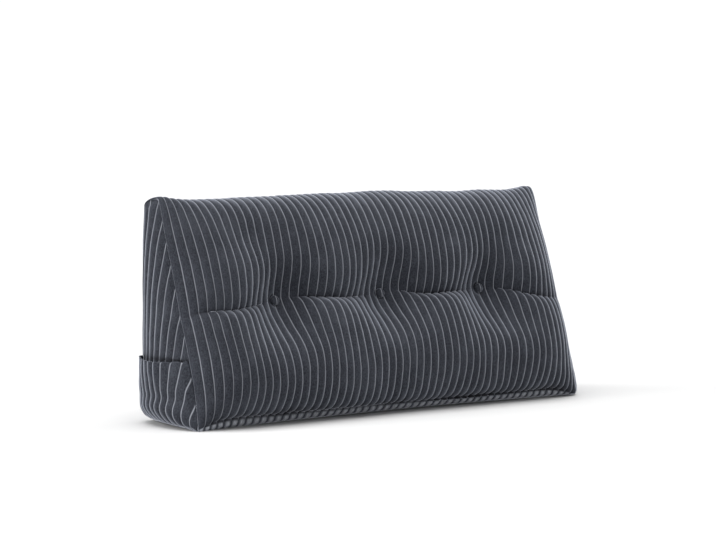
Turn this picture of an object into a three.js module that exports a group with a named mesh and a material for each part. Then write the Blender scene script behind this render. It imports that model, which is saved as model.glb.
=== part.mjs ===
// A wedge cushion in wide-ribbed cord cloth: one filled body with a sloping, button-tufted front,
// three cloth-covered buttons, and a patch pocket sewn over the foot of each side panel.
// Millimetres, +X along the length to the right, +Y to the back, +Z up. The origin is on the
// surface that the cushion stands on, under the middle of its box.

import * as THREE from 'three';

// The cloth: its ribs run up the front, over the top and down the back, and up each side panel.
const RIBS = 55;
const RIB_HEIGHT = 3;
const SIDE_RIB_PITCH = 19;
const FIRST_SIDE_RIB = 15;
const RIB_FADE = 12;

// The section at a side seam (end) and midway between two buttons (middle), as [y, z].
const FOOT = { end: [-94, 5], middle: [-93, 21] };
const RIDGE = { end: [90, 500], middle: [79, 493] };
const RIDGE_DIP = 5;
const CORNER_DROP = { left: 6, right: 11, reach: 32, power: 2.5 };
const SHOULDER = { end: [120, 478], middle: [120, 464] };
const HEEL = { end: [120, 26], middle: [126, 28] };
const BASE_BACK = 94;
const BASE_FRONT = { end: -86, middle: -45, twist: 10 };
const CURL_ROLL = 0.55;

// How far the panels stand out from the straight line between their edges, and the share of the
// tufting that still shows at the side seams.
const FRONT_CROWN = { left: 7, right: 14, middle: 89 };
const SEAM_TUFT = 0.1;
const FRONT_SQUARENESS = 3;
const FRONT_FULLNESS = 0.56;
const BACK_CROWN = 10;
const CROWN_REACH = { low: 120, high: 200 };
const CROWN_STEEPNESS = 2.2;

// The side panels: half the length between the seams, how much further out the back edge stands,
// how the seams, the top corners and the foot are drawn in, and the crown for each mm of width.
const HALF_LENGTH = 527;
const SEAM_DRAW = { left: 6, right: 5 };
const CORNER_DRAW = { left: 10, right: -8 };
const SEAM_DRAW_RISE = 100;
const BACK_FLARE = 12;
const EAR_DRAW = 5;
const EAR_REACH = 120;
const EDGE_DRAW_POWER = 10;
const FOOT_TUCK = 22;
const FOOT_ROUND = 42;
const SIDE_CROWN_RATE = 0.135;
const SIDE_FOOT_RISE = 50;
const RIB_CLOSING = 0.03;
const RIB_CLOSING_POWER = 9;

// The tufting: three buttons on one crease, with puffs above and below it. Lengths up the slope.
const BUTTONS = [
  { name: 'button_left', x: -286, reach: 52 },
  { name: 'button_middle', x: 0, reach: 62 },
  { name: 'button_right', x: 286, reach: 52 },
];
const CREASE_AT = 256;
const CREASE = { depth: 48, roundness: 2, below: 32, above: 36 };
const ROLL = { share: 0.3, reach: 7 };
const CREASE_EASE = { left: 0.28, right: 0.45, reach: 150 };
const PIT = { depth: 73, below: 62, above: 46 };

// How far the crease hangs below the buttons, as [x, drop].
const CREASE_LINE = [
  [-527, 10], [-480, 21], [-430, 28], [-360, 18], [-286, 0], [-240, -3], [-190, 5], [-120, 11],
  [-60, 6], [0, -2], [45, -2], [85, 9], [135, 14], [220, 9], [286, 0], [345, 11], [400, 33],
  [450, 41], [527, 30],
];

// Soft hollows in the filling under the front, and one fuller place, where the depth is negative.
const HOLLOWS = [
  { x: -330, up: 380, depth: 17, reachX: 70, reachUp: 40 },
  { x: -350, up: 170, depth: 10, reachX: 100, reachUp: 35 },
  { x: 340, up: 345, depth: 10, reachX: 50, reachUp: 35 },
  { x: 320, up: 160, depth: 10, reachX: 70, reachUp: 35 },
  { x: -460, up: 460, depth: 10, reachX: 90, reachUp: 50 },
  { x: -330, up: 45, depth: -9, reachX: 130, reachUp: 45 },
  { x: 180, up: 30, depth: 7, reachX: 140, reachUp: 35 },
];
const FOOT_PINCH = { depth: 7, reach: 12 };

// The buttons: a shallow dome over a rounded rim. The flat back sits on the pit's floor, and the
// button's centre lies a little below the crease.
const BUTTON = { radius: 11, bevel: 1, rim: 2.5, dome: 4, seat: 3.3, drop: 2, sides: 20, domeSteps: 4 };

// The pockets: one thickness of cloth. The mouth dips in the middle and stands open there, and
// the cloth below it slumps, with one soft fold across it.
const POCKET_CLOTH = 2.5;
const POCKET_RIB_PITCH = 19.8;
const FIRST_POCKET_RIB = 20;
const MOUTH = { height: 145, dip: 4, gap: 9, closedBelow: 50 };
const SLUMP = { depth: 3, fold: 66, reach: 14 };
const POCKET_INSET = 3;
const CLEARANCE = 1.4;

// The mesh: rows round the section, levels up the side panels, samples along a panel's edge.
const ROWS = { belowCrease: 12, aboveCrease: 12, top: 4, back: 5, heel: 3, base: 2, curl: 3 };
const LEVELS = { first: 12, step: 14, growth: 4, longest: 32 };
const EDGE_SAMPLES = 60;

// The colours of the cloth: the cushion's own, a shade lighter on the worn pile of the pockets.
const BODY_COLOR = 0x454953;
const POCKET_COLOR = 0x4f535d;
const BUTTON_COLOR = 0x3c3f49;

const { lerp, clamp } = THREE.MathUtils;
const smooth = (value) => THREE.MathUtils.smoothstep(value, 0, 1);
const blend = (pair, share) => pair.end.map((end, axis) => lerp(end, pair.middle[axis], share));

// Share of the full crown at u, which runs from -1 at the left seam to 1 at the right one.
function crownShare(u, up = 0) {
  const reach = lerp(CROWN_REACH.low, CROWN_REACH.high, up);
  const inside = clamp(((1 - Math.abs(u)) * HALF_LENGTH) / reach, 0, 1);
  return 1 - (1 - inside) ** CROWN_STEEPNESS;
}

// Ribs lie evenly along the cloth, so they close up where the front falls back to its seams.
function ribPlace(u) {
  return u * (1 + RIB_CLOSING) - RIB_CLOSING * Math.sign(u) * Math.abs(u) ** RIB_CLOSING_POWER;
}

// How strongly the nearest button draws the cloth in at x, from 0 to 1.
function buttonPull(x) {
  const pulls = BUTTONS.map((button) => Math.exp(-(((x - button.x) / button.reach) ** 2) / 2));
  return Math.max(...pulls);
}

// Distance up the slope of the crease at x, on soft curves between the places of its line.
function creaseAt(x) {
  const found = CREASE_LINE.findIndex((place) => place[0] > x);
  const next = found < 0 ? CREASE_LINE.length - 1 : Math.max(found, 1);
  const place = (index) => CREASE_LINE[clamp(index, 0, CREASE_LINE.length - 1)];
  const slope = (index) => {
    const [before, after] = [place(index - 1), place(index + 1)];
    return (after[1] - before[1]) / (after[0] - before[0]);
  };
  const [from, to] = [place(next - 1), place(next)];
  const width = to[0] - from[0];
  const share = clamp((x - from[0]) / width, 0, 1);
  const bend = slope(next - 1) * (1 - share) - slope(next) * share;
  const drop = lerp(from[1], to[1], smooth(share)) + bend * share * (1 - share) * width;
  return CREASE_AT - drop;
}

// How far the crease and the buttons draw the front in, at x and a length up the slope. Just
// below the crease the lower puffs roll over it.
function tuftDepth(x, up) {
  const from = up - creaseAt(x);
  const creaseReach = from < 0 ? CREASE.below : CREASE.above;
  const pitReach = from < 0 ? PIT.below : PIT.above;
  const away = Math.hypot(from, CREASE.roundness) - CREASE.roundness;
  const roll = from < 0 ? ROLL.share : 0;
  const outside = smooth((Math.abs(x) - BUTTONS[2].x) / CREASE_EASE.reach);
  const ease = (x < 0 ? CREASE_EASE.left : CREASE_EASE.right) * outside;
  const fall = lerp(Math.exp(-away / creaseReach), Math.exp(-away / ROLL.reach), roll);
  const pit = PIT.depth * Math.exp(-((from / pitReach) ** 2) / 2);
  return lerp(CREASE.depth * (1 - ease) * fall, pit, buttonPull(x));
}

// How far the hollows take the front in, at x and a length up the slope.
function hollowDepth(x, up) {
  const depths = HOLLOWS.map((hollow) => {
    const away = ((x - hollow.x) / hollow.reachX) ** 2 + ((up - hollow.up) / hollow.reachUp) ** 2;
    return hollow.depth * Math.exp(-away / 2);
  });
  return depths.reduce((sum, depth) => sum + depth, 0);
}

// A quarter of an ellipse between two points, leaving the first one along y or along z.
function quarter(from, to, share, alongY) {
  const angle = (share * Math.PI) / 2;
  const [early, late] = [Math.sin(angle), 1 - Math.cos(angle)];
  const [shareY, shareZ] = alongY ? [early, late] : [late, early];
  return [lerp(from[0], to[0], shareY), lerp(from[1], to[1], shareZ)];
}

// The ridge: lower between the top corners than at them, lowest above the outer buttons, and
// rounded off at the seams.
function ridgeAt(u) {
  const dip = RIDGE_DIP * smooth(Math.abs(u) * HALF_LENGTH / BUTTONS[2].x);
  const nearSeam = 1 - clamp(((1 - Math.abs(u)) * HALF_LENGTH) / CORNER_DROP.reach, 0, 1);
  const drop = u < 0 ? CORNER_DROP.left : CORNER_DROP.right;
  const [y, z] = blend(RIDGE, crownShare(u));
  return [y, z - dip * crownShare(u) - drop * nearSeam ** CORNER_DROP.power];
}

// The straight slope under the front at u: its two ends, its length and its outward direction.
function slopeAt(u) {
  const [foot, ridge] = [blend(FOOT, crownShare(u)), ridgeAt(u)];
  const length = Math.hypot(ridge[0] - foot[0], ridge[1] - foot[1]);
  const out = [(foot[1] - ridge[1]) / length, (ridge[0] - foot[0]) / length];
  return { foot, ridge, length, out };
}

// The front: the straight slope, its crown, and what the tufting and the hollows take away.
function frontPoint(share, u) {
  const crown = crownShare(u, share);
  const { foot, ridge, length, out } = slopeAt(u);
  const arch = Math.max(1 - Math.abs(2 * share - 1) ** FRONT_SQUARENESS, 0) ** FRONT_FULLNESS;
  const endCrown = u < 0 ? FRONT_CROWN.left : FRONT_CROWN.right;
  const rise = lerp(endCrown, FRONT_CROWN.middle, crown) * arch;
  const [x, up] = [ribPlace(u) * HALF_LENGTH, share * length];
  const tuft = tuftDepth(x, up) * lerp(SEAM_TUFT, 1, crown ** 2);
  const lift = rise - tuft - hollowDepth(x, up) * crown;
  return foot.map((from, axis) => lerp(from, ridge[axis], share) + out[axis] * lift);
}

// The share of the slope that lies below the crease at the middle button.
function creaseShare() {
  const slope = Math.hypot(RIDGE.middle[0] - FOOT.middle[0], RIDGE.middle[1] - FOOT.middle[1]);
  return creaseAt(0) / slope;
}

// The front's rows run along the crease, so that it stays sharp all along the front.
function frontRow(share, u) {
  const middle = creaseShare();
  const here = creaseAt(ribPlace(u) * HALF_LENGTH) / slopeAt(u).length;
  const below = (share * here) / middle;
  const above = 1 - ((1 - share) * (1 - here)) / (1 - middle);
  return frontPoint(share < middle ? below : above, u);
}

function topPoint(share, u) {
  return quarter(ridgeAt(u), blend(SHOULDER, crownShare(u)), share, true);
}

function backPoint(share, u) {
  const crown = crownShare(u);
  const [shoulder, heel] = [blend(SHOULDER, crown), blend(HEEL, crown)];
  const arch = BACK_CROWN * crown * 4 * share * (1 - share);
  return [lerp(shoulder[0], heel[0], share) + arch, lerp(shoulder[1], heel[1], share)];
}

function heelPoint(share, u) {
  return quarter(blend(HEEL, crownShare(u)), [BASE_BACK, 0], share, false);
}

function baseFront(u) {
  return lerp(BASE_FRONT.middle, BASE_FRONT.end, u ** 2) + BASE_FRONT.twist * u;
}

function basePoint(share, u) {
  return [lerp(BASE_BACK, baseFront(u), share), 0];
}

// The base panel's front edge curls up from the surface to the seam at the foot of the front.
function curlPoint(share, u) {
  const foot = blend(FOOT, crownShare(u));
  const turned = quarter([baseFront(u), 0], foot, share, true);
  const flat = [lerp(baseFront(u), foot[0], share), foot[1] * share];
  return flat.map((value, axis) => lerp(value, turned[axis], CURL_ROLL));
}

// The section once round, clockwise seen from the left end: t counts the stretches.
const STRETCHES = [frontRow, topPoint, backPoint, heelPoint, basePoint, curlPoint];
const TURN = STRETCHES.length;

function sectionPoint(t, u) {
  const stretch = Math.floor(t) % TURN;
  return STRETCHES[stretch](t - Math.floor(t), u);
}

// Half the length at a point (y, z) of a side panel's edge. The side is -1 on the left.
function edgeHalfLength(y, z, side) {
  const up = clamp((z - FOOT.end[1]) / (RIDGE.end[1] - FOOT.end[1]), 0, 1);
  const seam = lerp(FOOT.end[0], RIDGE.end[0], up);
  const behind = clamp((y - seam) / (HEEL.end[0] - seam), 0, 1);
  const ear = smooth((z - (RIDGE.end[1] - EAR_REACH)) / EAR_REACH);
  const tuck = (1 - clamp(z / FOOT_ROUND, 0, 1)) ** 2;
  const atBack = BACK_FLARE - EAR_DRAW * ear - FOOT_TUCK * tuck;
  const corner = smooth((z - (RIDGE.end[1] - SEAM_DRAW_RISE)) / SEAM_DRAW_RISE);
  const end = side < 0 ? 'left' : 'right';
  const drawn = lerp(SEAM_DRAW[end], CORNER_DRAW[end], corner);
  return HALF_LENGTH + lerp(-drawn * smooth(z / SEAM_DRAW_RISE), atBack, behind);
}

// Ribs are pressed flat under the base, at the foot seam and under the buttons.
function wrapRib(t, u, y, z) {
  const x = ribPlace(u) * HALF_LENGTH;
  const up = Math.hypot(y - FOOT.middle[0], z - FOOT.middle[1]);
  const nearest = Math.min(...BUTTONS.map((button) => Math.hypot(x - button.x, up - CREASE_AT)));
  const underButton = t < 1 ? smooth(nearest / BUTTON.radius - 1) : 1;
  return RIB_HEIGHT * underButton * smooth(z / (2 * RIB_FADE));
}

// A point of the wrap: the section, with a rib raised or the foot seam pinched along its normal.
function wrapPoint(t, u, isCrest) {
  const nudge = 1e-3;
  const [y, z] = sectionPoint(t, u);
  const before = sectionPoint((t + TURN - nudge) % TURN, u);
  const after = sectionPoint((t + nudge) % TURN, u);
  const run = Math.hypot(after[0] - before[0], after[1] - before[1]);
  const out = [(before[1] - after[1]) / run, (after[0] - before[0]) / run];
  const fromFoot = Math.hypot(y - FOOT.middle[0], z - FOOT.middle[1]);
  const pinch = FOOT_PINCH.depth * crownShare(u) * Math.exp(-fromFoot / FOOT_PINCH.reach);
  const lift = (isCrest ? wrapRib(t, u, y, z) : 0) - pinch;
  const drawn = (edgeHalfLength(y, z, u) - HALF_LENGTH) * Math.abs(u) ** EDGE_DRAW_POWER;
  const x = ribPlace(u) * HALF_LENGTH + Math.sign(u) * drawn;
  return new THREE.Vector3(x, y + out[0] * lift, Math.max(z + out[1] * lift, 0));
}

// The rows of the wrap: closer together at the foot, the crease and the ridge.
function wrapRows() {
  const crease = creaseShare();
  const stretches = [
    { from: 0, to: crease, steps: ROWS.belowCrease, eased: true },
    { from: crease, to: 1, steps: ROWS.aboveCrease, eased: true },
    { from: 1, to: 2, steps: ROWS.top },
    { from: 2, to: 3, steps: ROWS.back },
    { from: 3, to: 4, steps: ROWS.heel },
    { from: 4, to: 5, steps: ROWS.base },
    { from: 5, to: 6, steps: ROWS.curl },
  ];
  const rows = [];
  for (const { from, to, steps, eased } of stretches) {
    for (let step = 0; step < steps; step += 1) {
      const share = eased ? (1 - Math.cos((Math.PI * step) / steps)) / 2 : step / steps;
      rows.push(lerp(from, to, share));
    }
  }
  return rows;
}

// The outline of each side panel, sampled once in order of y: its upper and its lower side.
function edgeSamples(side, from, to) {
  const samples = [];
  for (let step = 0; step <= EDGE_SAMPLES * (to - from); step += 1) {
    samples.push(sectionPoint(Math.min(from + step / EDGE_SAMPLES, to - 1e-9), side));
  }
  return samples.sort((a, b) => a[0] - b[0]);
}
const EDGES = {
  left: { upper: edgeSamples(-1, 0, 2), lower: edgeSamples(-1, 3, 6) },
  right: { upper: edgeSamples(1, 0, 2), lower: edgeSamples(1, 3, 6) },
};
const edges = (side) => (side < 0 ? EDGES.left : EDGES.right);

// The value on one axis of a sampled edge where the other axis has the given value.
function along(samples, axis, value) {
  const found = samples.findIndex((point) => point[axis] > value);
  const next = found < 0 ? samples.length - 1 : Math.max(found, 1);
  const [from, to] = [samples[next - 1], samples[next]];
  const share = clamp((value - from[axis]) / (to[axis] - from[axis]), 0, 1);
  return lerp(from[1 - axis], to[1 - axis], share);
}
const upperZ = (y, side) => along(edges(side).upper, 0, y);
const lowerZ = (y, side) => along(edges(side).lower, 0, y);
const slopeY = (z, side) => along(edges(side).upper, 1, z);

// The crowned side panel: half the length at (y, z).
function sideHalfLength(y, z, side) {
  const front = slopeY(z, side);
  const width = Math.max(HEEL.end[0] - front, 1);
  const across = clamp((y - front) / width, 0, 1);
  const foot = 1 - (1 - clamp(z / SIDE_FOOT_RISE, 0, 1)) ** CROWN_STEEPNESS;
  const head = 1 - (z / RIDGE.end[1]) ** 6;
  const crown = SIDE_CROWN_RATE * width * 4 * across * (1 - across) * foot * head;
  return edgeHalfLength(y, z, side) + crown;
}

// How fully a side rib stands up at (y, z): flat on the panel's edge, full a little way in.
function sideRib(y, z, side) {
  const across = Math.min(y - slopeY(z, side), HEEL.end[0] - y);
  const upright = Math.min(z - lowerZ(y, side), upperZ(y, side) - z);
  return RIB_HEIGHT * smooth(Math.min(across, upright) / RIB_FADE);
}

// Uprights across a side: one on each groove and each crest, counted forwards from the back.
function uprights(firstGroove, pitch, front, back) {
  const list = [{ y: back, isCrest: false }];
  list.push({ y: back - firstGroove / 2, isCrest: true });
  let isCrest = false;
  for (let y = back - firstGroove; y > front + pitch / 4; y -= pitch / 2) {
    list.push({ y, isCrest });
    isCrest = !isCrest;
  }
  list.push({ y: front, isCrest: false });
  return list.reverse();
}

// Heights of the points of one upright: its two ends and the shared levels between them.
function levels(low, high) {
  const heights = [low];
  let step = LEVELS.step;
  for (let z = LEVELS.first; z < high - LEVELS.first / 2; z += step) {
    if (z > low + LEVELS.first / 2) heights.push(z);
    step = Math.min(step + LEVELS.growth, LEVELS.longest);
  }
  if (high > low) heights.push(high);
  return heights;
}

// A flat pattern over the given uprights, as points, triangles and its outline, anticlockwise
// with y to the right and z up.
function panelPattern(list, lowAt, highAt) {
  const points = [];
  const triangles = [];
  const columns = list.map(({ y, isCrest }) => (
    levels(lowAt(y), highAt(y)).map((z) => points.push({ y, z, isCrest }) - 1)
  ));
  for (let strip = 1; strip < columns.length; strip += 1) {
    const [left, right] = [columns[strip - 1], columns[strip]];
    let [a, b] = [0, 0];
    while (a < left.length - 1 || b < right.length - 1) {
      const nextLeft = a < left.length - 1 ? points[left[a + 1]].z : Infinity;
      const nextRight = b < right.length - 1 ? points[right[b + 1]].z : Infinity;
      if (nextLeft <= nextRight) {
        triangles.push([left[a], right[b], left[a + 1]]);
        a += 1;
      } else {
        triangles.push([left[a], right[b], right[b + 1]]);
        b += 1;
      }
    }
  }
  const inner = columns.slice(1, -1);
  const outline = [
    ...inner.map((column) => column[0]),
    ...columns.at(-1),
    ...inner.map((column) => column.at(-1)).reverse(),
    ...columns[0].slice().reverse(),
  ];
  return { points, triangles, outline };
}

// Triangles between two closed loops that run side by side, taking the shorter diagonal.
function zipLoops(vertices, left, right) {
  const triangles = [];
  const gap = (a, b) => vertices[left[a % left.length]].distanceTo(vertices[right[b % right.length]]);
  let [a, b] = [0, 0];
  while (a < left.length || b < right.length) {
    const [from, across] = [left[a % left.length], right[b % right.length]];
    if (b >= right.length || (a < left.length && gap(a + 1, b) <= gap(a, b + 1))) {
      triangles.push([from, across, left[(a + 1) % left.length]]);
      a += 1;
    } else {
      triangles.push([from, across, right[(b + 1) % right.length]]);
      b += 1;
    }
  }
  return triangles;
}

function cloth(color) {
  return new THREE.MeshStandardMaterial({ color, roughness: 0.95, metalness: 0 });
}

function closedMesh(name, vertices, triangles, material) {
  const geometry = new THREE.BufferGeometry();
  const numbers = vertices.flatMap((vertex) => vertex.toArray());
  geometry.setAttribute('position', new THREE.Float32BufferAttribute(numbers, 3));
  geometry.setIndex(triangles.flat());
  geometry.computeVertexNormals();
  const mesh = new THREE.Mesh(geometry, material);
  mesh.name = name;
  return mesh;
}

// The filled body: the ribbed wrap, closed at each end by a crowned and ribbed side panel.
function cushion() {
  const vertices = [];
  const triangles = [];
  const rows = wrapRows();
  const loops = [];
  for (let column = 1; column < 2 * RIBS; column += 1) {
    const u = column / RIBS - 1;
    loops.push(rows.map((t) => vertices.push(wrapPoint(t, u, column % 2 === 1)) - 1));
  }
  for (let column = 1; column < loops.length; column += 1) {
    const [left, right] = [loops[column - 1], loops[column]];
    rows.forEach((_, row) => {
      const next = (row + 1) % rows.length;
      triangles.push([left[row], right[row], right[next]], [left[row], right[next], left[next]]);
    });
  }
  const list = uprights(FIRST_SIDE_RIB, SIDE_RIB_PITCH, FOOT.end[0], HEEL.end[0]);
  for (const side of [-1, 1]) {
    const lowAt = (y) => (y === FOOT.end[0] ? FOOT.end[1] : lowerZ(y, side));
    const pattern = panelPattern(list, lowAt, (y) => upperZ(y, side));
    const indices = pattern.points.map(({ y, z, isCrest }) => {
      const x = sideHalfLength(y, z, side) + (isCrest ? sideRib(y, z, side) : 0);
      return vertices.push(new THREE.Vector3(side * x, y, z)) - 1;
    });
    const seam = pattern.outline.slice().reverse().map((index) => indices[index]);
    for (const [a, b, c] of pattern.triangles) {
      const face = [indices[a], indices[b], indices[c]];
      triangles.push(side > 0 ? face : face.reverse());
    }
    const [left, right] = side > 0 ? [loops.at(-1), seam] : [seam, loops[0]];
    triangles.push(...zipLoops(vertices, left, right));
  }
  return closedMesh('cushion', vertices, triangles, cloth(BODY_COLOR));
}

// How far the pocket's cloth stands off the side panel at (y, z).
function pocketGap(y, z, side) {
  const front = slopeY(z, side);
  const across = clamp((y - front) / (HEEL.end[0] - front), 0, 1);
  const open = smooth((z - MOUTH.closedBelow) / (MOUTH.height - MOUTH.closedBelow));
  const slump = SLUMP.depth * (1 - Math.exp(-(((z - SLUMP.fold) / SLUMP.reach) ** 2)));
  const low = smooth((z - lowerZ(y, side)) / SLUMP.fold);
  return (MOUTH.gap * open + slump * low) * Math.sin(Math.PI * across);
}

// A patch pocket over the foot of a side panel, sewn in at its foot and both upright edges.
function pocket(name, side) {
  const back = HEEL.end[0] - POCKET_INSET;
  const front = FOOT.end[0] + 2 * POCKET_INSET;
  const steepness = (RIDGE.end[1] - FOOT.end[1]) / (RIDGE.end[0] - FOOT.end[0]);
  const insetUp = POCKET_INSET * Math.hypot(1, steepness);
  const mouthFront = slopeY(MOUTH.height, side);
  const mouthAt = (y) => {
    const across = clamp((y - mouthFront) / (back - mouthFront), 0, 1);
    return MOUTH.height - MOUTH.dip * Math.sin(Math.PI * across);
  };
  const list = uprights(FIRST_POCKET_RIB, POCKET_RIB_PITCH, front, back);
  const pattern = panelPattern(
    list,
    (y) => lowerZ(y, side) + POCKET_INSET,
    (y) => Math.min(mouthAt(y), upperZ(y, side) - insetUp),
  );
  const vertices = [];
  const layers = [false, true].map((isOuter) => pattern.points.map(({ y, z, isCrest }) => {
    const rib = sideRib(y, z, side);
    const inner = sideHalfLength(y, z, side) + rib + CLEARANCE + pocketGap(y, z, side);
    const outer = inner + POCKET_CLOTH + (isCrest ? rib : 0);
    return vertices.push(new THREE.Vector3(side * (isOuter ? outer : inner), y, z)) - 1;
  }));
  const [inner, outer] = layers;
  const triangles = [];
  for (const [a, b, c] of pattern.triangles) {
    triangles.push([outer[a], outer[b], outer[c]], [inner[c], inner[b], inner[a]]);
  }
  pattern.outline.forEach((from, index) => {
    const to = pattern.outline[(index + 1) % pattern.outline.length];
    triangles.push([outer[from], inner[from], inner[to]], [outer[from], inner[to], outer[to]]);
  });
  const faces = side > 0 ? triangles : triangles.map((face) => face.reverse());
  return closedMesh(name, vertices, faces, cloth(POCKET_COLOR));
}

// A button in its pit, facing out of the slope.
function button(name, x) {
  const { radius, bevel, rim, dome, seat, drop, sides, domeSteps } = BUTTON;
  const profile = [new THREE.Vector2(0, 0), new THREE.Vector2(radius - bevel, 0)];
  profile.push(new THREE.Vector2(radius, bevel));
  for (let step = 0; step <= domeSteps; step += 1) {
    const angle = (Math.PI / 2) * (step / domeSteps);
    profile.push(new THREE.Vector2(radius * Math.cos(angle), rim + dome * Math.sin(angle)));
  }
  profile.at(-1).x = 0;
  const mesh = new THREE.Mesh(new THREE.LatheGeometry(profile, sides), cloth(BUTTON_COLOR));
  mesh.name = name;
  const u = x / HALF_LENGTH / (1 + RIB_CLOSING);
  const { length, out } = slopeAt(u);
  const [y, z] = frontPoint((creaseAt(x) - drop) / length, u);
  mesh.position.set(x, y + out[0] * seat, z + out[1] * seat);
  mesh.rotation.x = Math.atan2(out[1], out[0]);
  return mesh;
}

const model = new THREE.Group();
model.add(cushion());
for (const { name, x } of BUTTONS) model.add(button(name, x));
model.add(pocket('pocket_left', -1), pocket('pocket_right', 1));

export default model;
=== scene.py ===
"""A long wedge cushion in wide-ribbed cord velvet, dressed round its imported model.

The filled body is one closed skin: a wrap that runs up the front, over the ridge and down the
back, and a crowned panel at each end. A crease with three covered buttons tufts the front, and a
patch pocket is sewn over the foot of each end panel.

Metres throughout. +X runs along the length, +Y to the back and +Z up.
"""

import logging
import math
from collections.abc import Iterator
from contextlib import contextmanager
from dataclasses import dataclass, field
from enum import Enum

import bmesh
import bpy
import numpy as np
from mathutils import Matrix, Vector


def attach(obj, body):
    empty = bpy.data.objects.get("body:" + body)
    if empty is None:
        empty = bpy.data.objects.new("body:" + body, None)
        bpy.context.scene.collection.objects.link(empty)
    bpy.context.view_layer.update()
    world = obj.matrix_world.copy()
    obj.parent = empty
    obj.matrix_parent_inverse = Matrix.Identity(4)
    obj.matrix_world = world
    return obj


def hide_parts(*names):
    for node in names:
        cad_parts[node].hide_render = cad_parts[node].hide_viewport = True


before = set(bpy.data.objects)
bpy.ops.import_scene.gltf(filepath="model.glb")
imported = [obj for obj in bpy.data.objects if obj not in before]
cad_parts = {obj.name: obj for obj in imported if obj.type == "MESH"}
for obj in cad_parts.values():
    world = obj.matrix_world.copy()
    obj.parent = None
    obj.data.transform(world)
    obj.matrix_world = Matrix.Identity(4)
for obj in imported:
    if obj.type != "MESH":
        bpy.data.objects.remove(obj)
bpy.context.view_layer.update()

BODY = "root"
UV_NAME = "cord"
HALF_PI = math.pi / 2
BUTTON_RADIUS = 0.011
POCKET_MOUTH = 0.145

# Small enough to change no shape: a step back from a limit, and the least length divided by.
JUST_UNDER = 1e-9
NO_LENGTH = 1e-12

# The Mix node's colour sockets by number, because its other kinds share their names.
MIX_FIRST, MIX_SECOND, MIX_RESULT = 6, 7, 2

Numbers = np.ndarray
Pair = tuple[float, float]
Triple = tuple[float, float, float]
Color = Triple
Marks = dict[str, Numbers]
Socket = bpy.types.NodeSocket

# The y and z of a place in the section, or of many places at once.
Spot = tuple[Numbers, Numbers]

log = logging.getLogger("wedge_cushion")


class Side(Enum):
    """The two ends of the cushion, seen from its sloping front."""

    LEFT = -1
    RIGHT = 1


class Stretch(Enum):
    """The stretches of the section, in the order in which the wrap runs round it."""

    FRONT = 0
    TOP = 1
    BACK = 2
    HEEL = 3
    BASE = 4
    CURL = 5


def lerp(start: Numbers | float, end: Numbers | float, share: Numbers | float) -> Numbers:
    """The value at this share of the way from start to end."""
    return start + (end - start) * share


def smooth(value: Numbers | float) -> Numbers:
    """A soft step from 0 to 1 as value goes from 0 to 1."""
    inside = np.clip(value, 0.0, 1.0)
    return inside * inside * (3.0 - 2.0 * inside)


@dataclass(frozen=True)
class SectionPoint:
    """A corner of the section, as (y, z) at a side seam and midway between two buttons."""

    end: Pair
    middle: Pair

    def at(self, share: Numbers | float) -> Spot:
        """The corner's y and z where the cloth has this share of its full crown."""
        return lerp(self.end[0], self.middle[0], share), lerp(self.end[1], self.middle[1], share)


@dataclass(frozen=True)
class Tufting:
    """The crease across the front and the buttons that draw it in."""

    button_x: tuple[float, ...] = (-0.286, 0.0, 0.286)
    button_reach: tuple[float, ...] = (0.052, 0.062, 0.052)
    crease_up: float = 0.256
    crease_line: tuple[Pair, ...] = (
        (-0.527, 0.010),
        (-0.480, 0.021),
        (-0.430, 0.028),
        (-0.360, 0.018),
        (-0.286, 0.0),
        (-0.240, -0.003),
        (-0.190, 0.005),
        (-0.120, 0.011),
        (-0.060, 0.006),
        (0.0, -0.002),
        (0.045, -0.002),
        (0.085, 0.009),
        (0.135, 0.014),
        (0.220, 0.009),
        (0.286, 0.0),
        (0.345, 0.011),
        (0.400, 0.033),
        (0.450, 0.041),
        (0.527, 0.030),
    )
    crease_depth: float = 0.048
    roll_share: float = 0.30
    roll_reach: float = 0.007
    crease_ease: Pair = (0.28, 0.45)
    crease_ease_reach: float = 0.150
    crease_roundness: float = 0.002
    crease_below: float = 0.032
    crease_above: float = 0.036
    pit_depth: float = 0.073
    pit_below: float = 0.062
    pit_above: float = 0.046

    def pull(self, x: Numbers | float) -> Numbers:
        """How strongly the nearest button draws the cloth in at x, from 0 to 1."""
        places = zip(self.button_x, self.button_reach)
        return np.maximum.reduce([np.exp(-(((x - at) / reach) ** 2) / 2) for at, reach in places])

    def crease_at(self, x: Numbers | float) -> Numbers:
        """Where the crease lies at x, on soft curves between its places.

        Args:
            x: places along the length.

        Returns:
            The crease's distances up the slope.
        """
        places, drops = np.array(self.crease_line).T
        last = len(places) - 2
        span = np.clip(np.searchsorted(places, x, side="right") - 1, 0, last)
        width = places[span + 1] - places[span]
        share = np.clip((x - places[span]) / width, 0.0, 1.0)
        slopes = np.gradient(drops, places)
        bend = share * (1 - share) * width
        leave, arrive = slopes[span] * (1 - share), slopes[span + 1] * share
        drop = lerp(drops[span], drops[span + 1], smooth(share)) + bend * (leave - arrive)
        return self.crease_up - drop

    def depth(self, x: Numbers, up: Numbers) -> Numbers:
        """How far the crease and the buttons draw the front in.

        Args:
            x: places along the length.
            up: distances up the slope.

        Returns:
            The depths below the untufted crown.
        """
        away = up - self.crease_at(x)
        below = away < 0
        reach = np.where(below, self.crease_below, self.crease_above)
        pit_reach = np.where(below, self.pit_below, self.pit_above)
        rounded = np.hypot(away, self.crease_roundness) - self.crease_roundness
        ease = smooth((np.abs(x) - self.button_x[-1]) / self.crease_ease_reach)
        share = 1 - np.where(np.asarray(x) < 0, *self.crease_ease) * ease
        roll = np.where(below, self.roll_share, 0.0)
        fall = lerp(np.exp(-rounded / reach), np.exp(-rounded / self.roll_reach), roll)
        crease = self.crease_depth * share * fall
        pit = self.pit_depth * np.exp(-((away / pit_reach) ** 2) / 2)
        return lerp(crease, pit, self.pull(x))


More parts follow.
